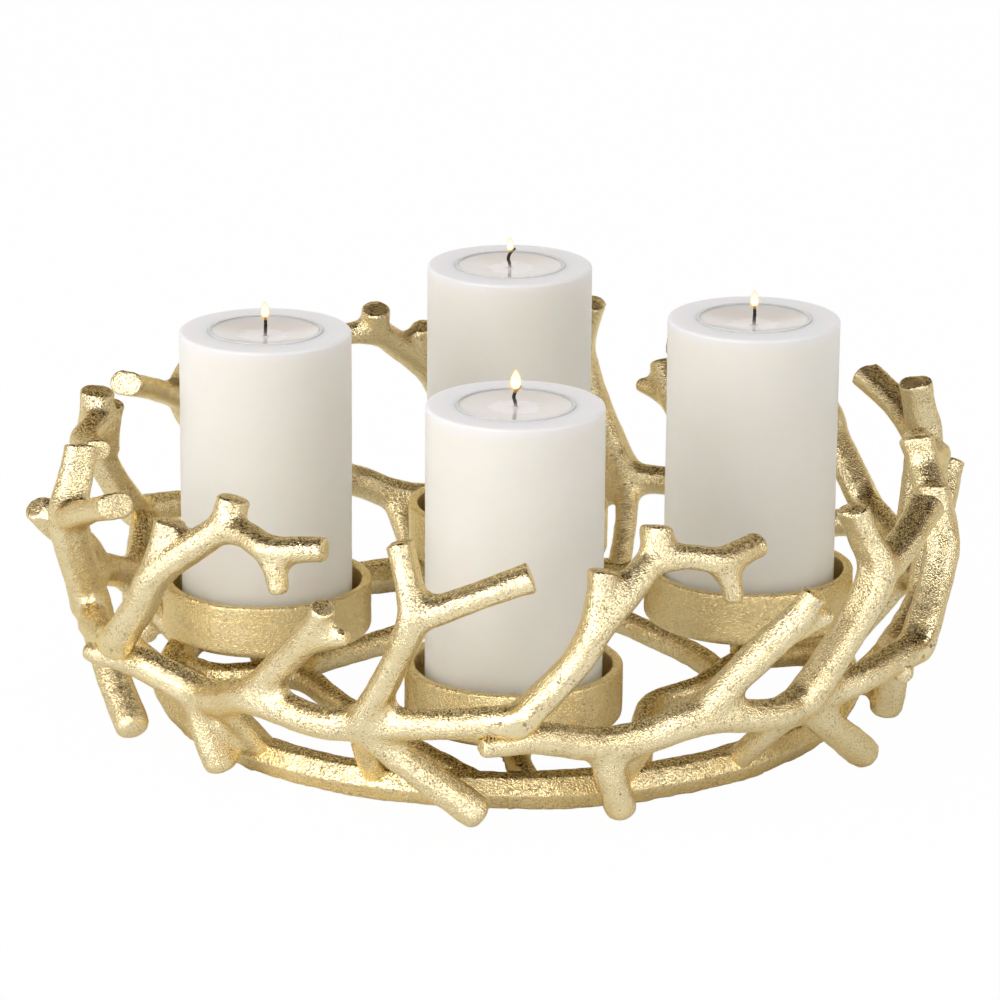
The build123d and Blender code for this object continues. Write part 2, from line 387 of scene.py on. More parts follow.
@dataclass(frozen=True)
class CastGold:
    """Gold finish of a sand casting."""

    name: str
    bright: Colour
    deep: Colour
    # Colour of the painted shade in hollows and on upward-facing faces.
    painted_shade_colour: Colour = (0.085, 0.041, 0.006, 1)
    pit_share: float = 0.9
    grain_scale: float = 1050.0
    smoothest: float = 0.17
    roughest: float = 0.25
    chatter: float = 0.1
    lacquer: float = 0.35
    edge: Colour = (1.0, 0.82, 0.40, 1)
    bump_strength: float = 1.0
    bump_distance: float = 0.00044

    def build(self, group: bpy.types.NodeTree) -> Material:
        """Build the material.

        Args:
            group: The shared casting group.

        Returns:
            The material.
        """
        finish = Finish(self.name)
        values = {
            "Bright": self.bright,
            "Deep": self.deep,
            "Painted Shade": self.painted_shade_colour,
            "Pit Share": self.pit_share,
            "Grain Scale": self.grain_scale,
            "Smoothest": self.smoothest,
            "Roughest": self.roughest,
            "Chatter": self.chatter,
            "Lacquer": self.lacquer,
            "Polish": finish.maker.attribute("weld"),
            # Painted shade in specks on upward-facing faces.
            "Painted Top Shade": finish.maker.attribute("painted_top_light"),
        }
        skin = finish.maker.add("ShaderNodeGroup", values, node_tree=group).outputs
        finish.set(Base_Color=skin["Color"], Roughness=skin["Roughness"], Metallic=1.0)
        finish.set(Coat_Weight=skin["Coat"], Coat_Roughness=0.2, Coat_IOR=1.55, Specular_Tint=self.edge)
        finish.bump(skin["Height"], self.bump_strength, self.bump_distance)
        return finish.material


@dataclass(frozen=True)
class Limb:
    """One limb of a casting through stations of turn, reach, height and half thickness."""

    stations: tuple[Station, ...]
    tip: Tip = Tip.CUT
    flare: float = 1.08
    spread: float = 0.0

    def lines(self, turn: float, lift: float) -> list[tuple[list[Vector], list[float]]]:
        """Lines of the limb at its place: one, or two side by side across the wreath if it is oval.

        Args:
            turn: Angle in degrees about the wreath's axis.
            lift: Height in millimetres.

        Returns:
            For each line its points and the half thickness at each, in metres.
        """
        shifts = (-self.spread, self.spread) if self.spread else (0.0,)
        return [self.line(turn, lift, shift) for shift in shifts]

    def line(self, turn: float, lift: float, shift: float) -> tuple[list[Vector], list[float]]:
        """One line of the limb, with its tip rounded or cut.

        Args:
            turn: Angle in degrees about the wreath's axis.
            lift: Height in millimetres.
            shift: Millimetres that the line is set outwards.

        Returns:
            The points and the half thickness at each, in metres.
        """
        points = [polar(a + turn, r + shift, z + lift) for a, r, z, _ in self.stations]
        halves = [half * MM for *_, half in self.stations]
        way = (points[-1] - points[-2]).normalized()
        half = halves[-1]
        if self.tip is Tip.SOFT:
            end = points[-1]
            points[-1:] = [end - way * (half * share - WEB) for share in (1.0, 0.6, 0.25, 0.04)]
            halves[-1:] = [half * share for share in (1.0, 0.93, 0.68, 0.3)]
        else:
            end = points[-1] + way * WEB
            points[-1:] = [end - way * half * share for share in (1.5, 0.4, 0.12, 0.0)]
            halves[-1:] = [half * share for share in (1.0, self.flare, self.flare * 0.92, self.flare * 0.66)]
        return points, halves


class LimbTree:
    """Geometry Nodes tree that turns limb lines into lumpy tubes."""

    def __init__(self) -> None:
        """Build the tree."""
        self.tree = bpy.data.node_groups.new("limbs_to_tubes", "GeometryNodeTree")
        maker = TreeMaker(self.tree)
        maker.socket("Geometry", "Geometry")
        for name, default in (
            ("Rib Spacing", 0.002),
            ("Lump Scale", 70.0),
            ("Lump Share", 0.2),
            ("Web", 0.0),
        ):
            maker.socket(name, "Float", default=default)
        maker.socket("Sides", "Int", default=9)
        maker.socket("Finish", "Material")
        maker.socket("Geometry", "Geometry", output=True)
        inputs = maker.add("NodeGroupInput").outputs
        line = maker.out("GeometryNodeMeshToCurve", {0: inputs["Geometry"]})
        smooth = maker.out("GeometryNodeCurveSplineType", {"Curve": line}, spline_type="CATMULL_ROM")
        fine = maker.out("GeometryNodeSetSplineResolution", {0: smooth, "Resolution": 16})
        ribs = {"Curve": fine, "Length": inputs["Rib Spacing"]}
        even = maker.out("GeometryNodeResampleCurve", ribs, mode="LENGTH")
        half = maker.out("GeometryNodeInputNamedAttribute", {"Name": "half"}, data_type="FLOAT")
        place = maker.out("GeometryNodeInputPosition")
        lumps = maker.less(maker.noise(place, inputs["Lump Scale"]), 0.5)
        swell = maker.plus(maker.times(lumps, inputs["Lump Share"]), 1.0)
        ring = {"Resolution": inputs["Sides"], "Radius": 1.0}
        section = maker.out("GeometryNodeCurvePrimitiveCircle", ring, mode="RADIUS")
        width = maker.plus(maker.times(half, swell), inputs["Web"])
        sweep = {"Curve": even, "Profile Curve": section, "Scale": width, "Fill Caps": True}
        maker.end(maker.out("GeometryNodeCurveToMesh", sweep), inputs["Finish"])


class CastSkinTree:
    """Geometry Nodes tree that blends forks and gives a casting its hammered skin."""

    def __init__(self) -> None:
        """Build the tree."""
        self.tree = bpy.data.node_groups.new("cast_skin", "GeometryNodeTree")
        maker = TreeMaker(self.tree)
        maker.socket("Geometry", "Geometry")
        maker.socket("Blend Steps", "Int", default=9)
        for name, default in (
            ("Swell", 0.0003),
            ("Dent Scale", 120.0),
            ("Dent Depth", 0.0009),
            ("Pebble Scale", 520.0),
            ("Pebble Depth", 0.00018),
            ("Web", 0.0),
            ("Floor", 0.0),
        ):
            maker.socket(name, "Float", default=default)
        maker.socket("Finish", "Material")
        maker.socket("Geometry", "Geometry", output=True)
        inputs = maker.add("NodeGroupInput").outputs
        place = maker.out("GeometryNodeInputPosition")
        even = self.blurred(maker, inputs["Geometry"], 4)
        lean = self.pushed(maker, even, maker.times(inputs["Web"], -1.0))
        blended = self.blurred(maker, lean, inputs["Blend Steps"])
        dents = maker.less(maker.noise(place, inputs["Dent Scale"]), 0.5)
        pebbles = maker.less(maker.noise(place, inputs["Pebble Scale"], 2.0, 0.55), 0.5)
        dented = maker.times(dents, inputs["Dent Depth"])
        pebbled = maker.times(pebbles, inputs["Pebble Depth"])
        skin = self.pushed(maker, blended, maker.plus(maker.plus(dented, pebbled), inputs["Swell"]))
        split = maker.add("ShaderNodeSeparateXYZ", {0: place}).outputs
        clear = {0: split[0], 1: split[1], 2: maker.most(split[2], inputs["Floor"])}
        grounded = maker.out("ShaderNodeCombineXYZ", clear)
        standing = maker.out("GeometryNodeSetPosition", {"Geometry": skin, "Position": grounded})
        shaded = maker.out("GeometryNodeSetShadeSmooth", {"Geometry": standing, "Shade Smooth": True})
        maker.end(shaded, inputs["Finish"])

    @staticmethod
    def blurred(maker: TreeMaker, geometry: Socket, steps: Any) -> Socket:
        """Geometry with its points moved to the mean of their neighbours.

        Args:
            maker: Maker of the tree.
            geometry: The geometry's socket.
            steps: How many times.

        Returns:
            The new geometry's socket.
        """
        values = {"Value": maker.out("GeometryNodeInputPosition"), "Iterations": steps, "Weight": 1.0}
        mean = maker.out("GeometryNodeBlurAttribute", values, data_type="FLOAT_VECTOR")
        return maker.out("GeometryNodeSetPosition", {"Geometry": geometry, "Position": mean})

    @staticmethod
    def pushed(maker: TreeMaker, geometry: Socket, height: Socket) -> Socket:
        """Geometry with its points moved along their normals.

        Args:
            maker: Maker of the tree.
            geometry: The geometry's socket.
            height: How far, in metres.

        Returns:
            The new geometry's socket.
        """
        values = {0: maker.out("GeometryNodeInputNormal"), "Scale": height}
        offset = maker.out("ShaderNodeVectorMath", values, operation="SCALE")
        return maker.out("GeometryNodeSetPosition", {"Geometry": geometry, "Offset": offset})


@dataclass
class Foundry:
    """Makes castings from limbs: lines, tubes, one closed skin and its grain."""

    limb_tree: LimbTree
    skin_tree: CastSkinTree
    voxel: float = 0.00095

    def lines(self, name: str, limbs: Sequence[Limb], turn: float, lift: float) -> Piece:
        """Mesh of loose lines, one or two for each limb, with a half thickness at each point.

        Args:
            name: Name of the piece.
            limbs: The casting's limbs.
            turn: Angle in degrees about the wreath's axis.
            lift: Height in millimetres.

        Returns:
            The object.
        """
        points: list[Vector] = []
        halves: list[float] = []
        edges: list[tuple[int, int]] = []
        for here, thick in (line for limb in limbs for line in limb.lines(turn, lift)):
            start = len(points)
            edges += [(start + i, start + i + 1) for i in range(len(here) - 1)]
            points += here
            halves += thick
        mesh = bpy.data.meshes.new(name)
        mesh.from_pydata(points, edges, [])
        piece = link(name, mesh)
        store(piece, "half", halves)
        return piece

    def cast(
        self,
        name: str,
        limbs: Sequence[Limb],
        finish: Material,
        turn: float = 0.0,
        lift: float = 0.0,
        tube: dict[str, Any] | None = None,
        skin: dict[str, Any] | None = None,
    ) -> Piece:
        """Make one casting as a plain mesh.

        Args:
            name: Name of the piece.
            limbs: The casting's limbs.
            finish: Its material.
            turn: Angle in degrees about the wreath's axis.
            lift: Height in millimetres.
            tube: Values for the limb tree's inputs.
            skin: Values for the skin tree's inputs.

        Returns:
            The finished object.
        """
        piece = self.lines(name, limbs, turn, lift)
        tubes = piece.modifiers.new("tubes", "NODES")
        tubes.node_group = self.limb_tree.tree
        set_modifier_inputs(tubes, {"Finish": finish, "Web": WEB, **(tube or {})})
        closed = piece.modifiers.new("closed", "REMESH")
        closed.mode = "VOXEL"
        closed.voxel_size = self.voxel
        surface = piece.modifiers.new("surface", "NODES")
        surface.node_group = self.skin_tree.tree
        set_modifier_inputs(surface, {"Finish": finish, "Web": WEB, **(skin or {})})
        freeze(piece)
        mark_painted_top_shade(piece)
        return piece


@dataclass
class BranchWreath:
    """Six alike cast branches, set round by hand and welded together."""

    turns: tuple[float, ...] = (0, 1, 1, 1, 0, 1)
    lifts: tuple[float, ...] = (2.5, 0, 1.5, 3, 0, 4)
    bends: dict[tuple[int, int], tuple[Station, ...]] = field(default_factory=lambda: {
        (4, 2): ((0, 0, 0, 0), (0, 0, 0, 0), (0, 3, 0, 0), (0, 6, 0, 0), (0, 8, 0, 0)),
        (5, 6): ((0, 0, 0, 0), (0, 1, -1, 0), (0, 3, -3, 0.3), (0, 5, -6, 0.6), (0, 7, -8, 0.9)),
    })
    weld: tuple[float, float, float] = (271.0, 210.0, 57.0)
    weld_reach: float = 0.017
    limbs: tuple[Limb, ...] = (
        Limb((
            (271.5, 209, 56, 7.4), (261, 203, 51, 6.8), (251, 196, 46, 7.6), (245, 198.5, 45, 7.2),
            (235, 195.5, 49, 8), (228, 188.5, 41, 7.6), (221.7, 186, 38, 7.8), (213, 197, 46, 7),
            (206, 212, 47, 4.8),
        ), flare=0.8, spread=0.8),
        Limb(((269.8, 208, 54.5, 7.8), (271.5, 208.5, 56, 8.8), (273.2, 208.8, 58, 8)), Tip.SOFT),
        Limb((
            (271.5, 209, 56, 7.2), (278, 209, 82, 6.6), (281, 207.5, 99, 7.2), (289, 194, 123, 6.4),
            (289.6, 190, 135, 6.4),
        ), spread=1.6),
        Limb(((280, 208, 94, 6.2), (281, 205, 110, 5.8), (281.4, 202.5, 121, 5.8)), spread=1.8),
        Limb((
            (288.5, 194.5, 121, 6.4), (293, 196, 122, 5.2), (297.7, 199, 119, 5.8), (304.4, 192, 120.6, 5.2),
        ), spread=1.6, flare=1.05),
        Limb(((297, 199, 119, 6), (298.6, 200.5, 110, 5.2), (299.3, 201, 100, 4.9)), Tip.SOFT),
        Limb((
            (235, 195.5, 50, 7.6), (239.4, 198, 66, 6.8), (243.5, 202.7, 80, 7), (246.6, 209, 92.7, 6.2),
            (248, 213, 103, 5.4),
        ), spread=1.0, flare=1.02),
        Limb(((243.4, 203, 81, 6.6), (247.5, 209, 87.5, 5), (251, 212, 90.5, 3.8)), Tip.SOFT),
        Limb((
            (251, 196, 46, 7), (255.6, 205, 74, 6.2), (258.9, 213, 102, 6.8), (258, 208.5, 119, 5.6),
            (256.8, 204, 133, 5.4),
        ), spread=2.8),
        Limb((
            (258.5, 212.5, 101, 6.4), (265.5, 212, 112, 5.6), (272.6, 209.8, 121.5, 5.8),
        ), spread=2.8, flare=1.1),
        Limb(((221.7, 186, 38, 7), (223.3, 185, 22, 7), (225.4, 181, 2.6, 7.4)), Tip.SOFT, spread=0.8),
        Limb(((251, 196, 45, 7.2), (258.3, 193.5, 26, 7.2), (267, 192.5, 5, 7.6)), Tip.SOFT, spread=0.8),
        Limb(((228, 188, 40, 6.6), (227.2, 176, 26, 6), (226.5, 159, 8, 6.2))),
        Limb(((251, 195, 44, 6.6), (249.5, 179, 28, 5.8), (248.5, 159, 8, 6))),
    )

    def bent(self, index: int) -> tuple[Limb, ...]:
        """Limbs of one branch with the small bends that it got by hand.

        Args:
            index: The branch's place in the wreath, from 0.

        Returns:
            The limbs.
        """
        limbs = list(self.limbs)
        for (branch, limb), moves in self.bends.items():
            if branch == index:
                pairs = zip(limbs[limb].stations, moves)
                stations = tuple(tuple(a + b for a, b in zip(*pair)) for pair in pairs)
                limbs[limb] = replace(limbs[limb], stations=stations)
        return tuple(limbs)

    def mark_welds(self, piece: Piece, turn: float, lift: float, before: tuple[float, float]) -> None:
        """Store on a casting's points how near they are to the polished welds at its two ends.

        Args:
            piece: The casting.
            turn: Its angle in degrees.
            lift: Its height in millimetres.
            before: Angle and height of the casting behind it, whose weld lies on its stem.
        """
        count = len(piece.data.vertices)
        places = np.empty(count * 3)
        piece.data.vertices.foreach_get("co", places)
        places = places.reshape(-1, 3)
        near = np.zeros(count)
        for angle, height in ((turn, lift), before):
            a, r, z = self.weld
            spot = np.array(polar(a + angle, r, z + height))
            away = np.linalg.norm(places - spot, axis=1) / self.weld_reach
            near = np.maximum(near, np.clip(1.35 - 1.5 * away, 0.0, 1.0))
        store(piece, "weld", near)

    def build(self, foundry: Foundry, finish: Material) -> None:
        """Cast, place and dress the six branches.

        Args:
            foundry: What makes the castings.
            finish: Their material.
        """
        for index, (turn, lift) in enumerate(zip(self.turns, self.lifts)):
            node = f"branch_{index + 1}"
            angle = index * 60 + turn
            piece = foundry.cast(f"{node}_casting", self.bent(index), finish, angle, lift)
            before = ((index - 1) * 60 + self.turns[index - 1], self.lifts[index - 1])
            self.mark_welds(piece, angle, lift, before)
            dress(piece, "wreath", Slot.CAST, node)


@dataclass
class BaseRing:
    """Heavy rods laid end to end under the branches, flat underneath."""

    count: int = 8
    first_joint: float = 225.0
    reach: float = 159.0
    half: float = 8.6
    swell: float = 0.5
    height: float = 8.0
    shares: tuple[float, ...] = (-0.015, 0.17, 0.34, 0.5, 0.66, 0.83, 1.015)

    def build(self, foundry: Foundry, finish: Material) -> None:
        """Cast, place and dress the rods.

        Args:
            foundry: What makes the castings.
            finish: Their material.
        """
        span = 360 / self.count
        for index in range(self.count):
            half = self.half + self.swell * (index % 2)
            start = self.first_joint + index * span
            stations = tuple((start + span * share, self.reach, self.height, half) for share in self.shares)
            piece = foundry.cast(
                f"base_rod_{index + 1}_casting",
                (Limb(stations, flare=1.0),),
                finish,
                tube={"Lump Share": 0.2, "Lump Scale": 55.0, "Sides": 6},
                skin={"Dent Depth": 0.0014, "Dent Scale": 100.0, "Swell": 0.0004},
            )
            dress(piece, "wreath", Slot.CAST, f"base_rod_{index + 1}")


@dataclass
class DishArms:
    """Bent arms inside the ring, with a lug under each dish."""

    lug_half: float = 8.5
    lug_height: float = 18.0
    lug_steps: tuple[float, ...] = (0.0, 0.35, 0.7, 1.0)
    half: float = 6.2
    routes: dict[str, tuple[Route, ...]] = field(default_factory=lambda: {
        "left": (
            (
                (176, 159, 8), (189, 139, 13), (193, 115, 15), (199, 100, 15), (220.6, 101, 14),
                (245, 119, 12), (257.6, 139, 11), (267, 159, 8),
            ),
            ((193, 115, 15), (186, 113.4, 19), (181.3, 113.4, 21)),
        ),
        "right": (
            (
                (11, 159, 8), (5, 140, 14), (356, 113, 18), (333, 101, 17), (317, 93, 15),
                (303, 113, 13), (294.4, 143, 11), (291, 159, 8),
            ),
            ((356, 113, 18), (359, 113.4, 23), (361.3, 113.4, 26.5)),
        ),
        "back": (
            (
                (90, 159, 8), (90, 138, 15), (90, 113.4, 21), (69, 85, 17), (39, 76, 16),
                (5, 88, 15), (-13, 103, 16),
            ),
            ((90, 113.4, 21), (112, 75, 16), (145, 62, 14), (183.5, 92, 14), (196, 104, 15)),
        ),
        "front": (
            ((274, 159, 8), (272, 138, 13), (271.3, 113.4, 17), (252, 97, 14), (229, 102, 14)),
        ),
    })

    def build(self, foundry: Foundry, finish: Material) -> None:
        """Cast, place and dress the arms.

        Args:
            foundry: What makes the castings.
            finish: Their material.
        """
        for seat, routes in self.routes.items():
            limbs = [Limb(tuple((*point, self.half) for point in route), flare=1.0) for route in routes]
            angle, top = SEAT_ANGLES[seat], SEAT_HEIGHTS[seat]
            heights = [top - self.lug_height * (1 - step) for step in self.lug_steps]
            lug = tuple((angle, SEAT_CIRCLE, height, self.lug_half) for height in heights)
            limbs.append(Limb(lug, flare=1.0))
            piece = foundry.cast(f"cup_arm_{seat}_casting", limbs, finish)
            dress(piece, "wreath", Slot.CAST, f"cup_arm_{seat}")


def rounded(corners: Sequence[tuple[float, float, float]], steps: int = 6) -> Profile:
    """Profile line through corners of radius, height and rounding, in millimetres.

    Args:
        corners: The corners in order.
        steps: Runs in each rounded corner.

    Returns:
        Points of the line as radius and height.
    """
    line: Profile = []
    for index, (r, z, bend) in enumerate(corners):
        here = Vector((r, z))
        if bend <= 0 or index in (0, len(corners) - 1):
            line.append((r, z))
            continue
        before = (Vector(corners[index - 1][:2]) - here).normalized()
        after = (Vector(corners[index + 1][:2]) - here).normalized()
        half = before.angle(after) / 2
        start, end = here + before * bend / math.tan(half), here + after * bend / math.tan(half)
        middle = here + (before + after).normalized() * bend / math.sin(half)
        for step in range(steps + 1):
            share = step / steps
            way = (start - middle).lerp(end - middle, share).normalized()
            point = middle + way * bend
            line.append((point.x, point.y))
    return line


def finer(line: Profile, longest: float) -> Profile:
    """Profile line with its long runs divided.

    Args:
        line: The line as radius and height in millimetres.
        longest: The longest run that may be left.

    Returns:
        The divided line.
    """
    fine = [line[0]]
    for (r0, z0), (r1, z1) in zip(line, line[1:]):
        runs = max(1, math.ceil(math.hypot(r1 - r0, z1 - z0) / longest))
        fine += [(r0 + (r1 - r0) * i / runs, z0 + (z1 - z0) * i / runs) for i in range(1, runs + 1)]
    return fine


def turned(
    name: str,
    line: Profile,
    foot: Vector,
    sides: int,
    unevenness: Callable[[Vector], Vector] | None = None,
    closed: bool = False,
) -> Piece:
    """Solid turned about a vertical axis.

    Args:
        name: Name of the piece.
        line: Profile as radius and height in millimetres above the foot.
        foot: Point in metres on the axis.
        sides: Number of steps round the axis.
        unevenness: Offset in metres for a point of the surface.
        closed: True for a ring whose profile is a loop, false for a line from axis to axis.

    Returns:
        The object, smooth and with its faces outwards.
    """
    work = bmesh.new()
    rings: list[list[bmesh.types.BMVert]] = []
    for r, z in line:
        count = 1 if r < 1e-6 else sides
        ring = []
        for step in range(count):
            angle = 2 * math.pi * step / sides
            point = foot + Vector((r * math.cos(angle), r * math.sin(angle), z)) * MM
            if unevenness is not None:
                point += unevenness(point - foot)
            ring.append(work.verts.new(point))
        rings.append(ring)
    pairs = list(zip(rings, rings[1:]))
    if closed:
        pairs.append((rings[-1], rings[0]))
    for low, high in pairs:
        for step in range(sides):
            after = (step + 1) % sides
            spots = ((low, step), (low, after), (high, after), (high, step))
            corners = list(dict.fromkeys(ring[at % len(ring)] for ring, at in spots))
            if len(corners) > 2:
                work.faces.new(corners)
    bmesh.ops.recalc_face_normals(work, faces=work.faces)
    for face in work.faces:
        face.smooth = True
    mesh = bpy.data.meshes.new(name)
    work.to_mesh(mesh)
    work.free()
    return link(name, mesh)


@dataclass
class Dish:
    """Cast and turned dish with a thick rim and a countersunk hole in its floor."""

    radius: float = 49.0
    wall: float = 4.6
    floor: float = 5.0
    height: float = 25.0
    foot_round: float = 3.5
    rim_round: float = 1.3
    hole: float = 2.55
    hole_depth: float = 1.9
    sink: float = 5.05
    sink_depth: float = 4.7
    sides: int = 200

    def uneven(self, seat: str) -> Callable[[Vector], Vector]:
        """Hand-finished unevenness of one dish.

        Args:
            seat: The seat's name.

        Returns:
            A function from a point to its offset.
        """
        shift = Vector((SEATS.index(seat) * 3.1, 0.7, 1.9))

        def offset(point: Vector) -> Vector:
            """Push a point in or out by slow waves and small flats."""
            out = Vector((point.x, point.y, 0.0))
            if out.length < 0.02:
                return Vector()
            slow = noise.noise(point * 38 + shift)
            quick = noise.noise(point * 140 + shift)
            rim = max(0.0, min(1.0, (point.z / MM - 20) / 4))
            tilt = noise.noise(out * 45 + shift * 2) + 0.5 * noise.noise(out * 130 + shift)
            rise = Vector((0, 0, rim * tilt * 0.35 * MM))
            return out.normalized() * (slow * 0.3 + quick * 0.14) * MM + rise

        return offset

    def build(self, seat: str, finish: Material) -> None:
        """Turn, place and dress the dish of one seat.

        Args:
            seat: The seat's name.
            finish: The dish's material.
        """
        inner = self.radius - self.wall
        line = finer(rounded((
            (self.hole, self.hole_depth, 0.0),
            (self.hole, 0.0, 0.0),
            (self.radius, 0.0, self.foot_round),
            (self.radius, self.height, self.rim_round),
            (inner, self.height, self.rim_round),
            (inner, self.floor, 0.8),
            (self.sink, self.floor, 0.0),
            (self.sink, self.sink_depth, 0.0),
        )), 1.6)
        place = seat_foot(seat)
        piece = turned(f"cup_{seat}_turned", line, place, self.sides, self.uneven(seat), closed=True)
        piece.data.materials.append(finish)
        dress(piece, "wreath", Slot.DISH, f"cup_{seat}")


@dataclass
class LastingCandle:
    """Lasting candle with a socket in its top and a lit tealight in the socket."""

    radius: float = 40.0
    height: float = 140.0
    top_round: float = 1.4
    # Height of the band under the top edge that gets the painted lilac glow.
    top_band: float = 7.0
    foot_round: float = 1.5
    socket_radius: float = 26.85
    socket_depth: float = 20.0
    foot: float = 5.0
    cup_radius: float = 26.8
    cup_wall: float = 1.5
    cup_floor: float = 1.2
    rim_proud: float = 0.4
    wax_below: float = 0.6
    melt: dict[str, float] = field(
        default_factory=lambda: {"front": 1.2, "left": 3.0, "right": 3.4, "back": 1.6}
    )
    bowl_shares: tuple[float, ...] = (0.985, 0.95, 0.88, 0.78, 0.66, 0.54, 0.42, 0.3, 0.2, 0.13, 0.08)
    candle_sides: int = 160
    tealight_sides: int = 128

    def wax_top(self, seat: str) -> float:
        """Height of the middle of a seat's melted wax above the underside of the dish."""
        return self.foot + self.height + self.rim_proud - self.wax_below - self.melt[seat]

    def block(self, seat: str, finish: Material) -> None:
        """Turn, place and dress the candle itself.

        Args:
            seat: The seat's name.
            finish: The wax.
        """
        shift = Vector((SEATS.index(seat) * 5.3, 2.2, 0.4))

        def offset(point: Vector) -> Vector:
            """Slow unevenness of poured wax."""
            out = Vector((point.x, point.y, 0.0))
            if out.length < 0.03:
                return Vector()
            return out.normalized() * noise.noise(point * 22 + shift) * 0.22 * MM

        top, base = self.foot + self.height, self.foot + self.height - self.socket_depth
        line = finer(rounded((
            (0.0, self.foot, 0.0),
            (self.radius, self.foot, self.foot_round),
            (self.radius, top, self.top_round),
            (self.socket_radius, top, 0.15),
            (self.socket_radius, base, 0.4),
            (0.0, base, 0.0),
        )), 3.0)
        piece = turned(f"candle_{seat}_wax", line, seat_foot(seat), self.candle_sides, offset)
        rim = seat_foot(seat, top).z
        # Nearness to the top edge, where the wax gets its painted lilac glow.
        drops = [(rim - vertex.co.z) / (self.top_band * MM) for vertex in piece.data.vertices]
        store(piece, "painted_top_light", [1 - min(1.0, drop) for drop in drops])
        piece.data.materials.append(finish)
        dress(piece, f"{seat}_candle", Slot.CANDLE, f"candle_{seat}")

    def tealight(self, seat: str, clear: Material, pool: Material) -> None:
        """Turn, place and dress the clear cup and the wax in it.

        Args:
            seat: The seat's name.
            clear: The cup's material.
            pool: The wax.
        """
        base = self.foot + self.height - self.socket_depth
        rim = self.foot + self.height + self.rim_proud
        inner = self.cup_radius - self.cup_wall
        line = finer(rounded((
            (0.0, base, 0.0),
            (self.cup_radius, base, 0.8),
            (self.cup_radius, rim, 0.3),
            (inner, rim, 0.3),
            (inner, base + self.cup_floor, 0.3),
            (0.0, base + self.cup_floor, 0.0),
        ), 4), 5.0)
        axis = seat_foot(seat)
        cup = turned(f"tealight_cup_{seat}_clear", line, axis, self.tealight_sides)
        cup.data.materials.append(clear)
        dress(cup, f"{seat}_tealight", Slot.CLEAR_CUP, f"tealight_cup_{seat}")
        edge, middle = rim - self.wax_below, self.wax_top(seat)
        low = [(0.0, base + self.cup_floor + 4.0), (inner - 0.05, base + self.cup_floor + 0.1)]
        meniscus = [(inner - 0.05, edge + 0.5), (inner - 0.2, edge + 0.15)]
        bowl = [(inner * share, edge + (middle - edge) * (1 - share**2)) for share in self.bowl_shares]
        near = [(1.4, middle + 0.15), (0.95, middle + 0.5), (0.0, middle + 0.5)]
        wax = turned(f"tealight_wax_{seat}_pool", low + meniscus + bowl + near, axis, self.tealight_sides)
        spans = [(vertex.co - axis).to_2d().length / (inner * MM) for vertex in wax.data.vertices]
        store(wax, "reach", spans)
        wax.data.materials.append(pool)
        dress(wax, f"{seat}_tealight", Slot.POOL, f"tealight_wax_{seat}")


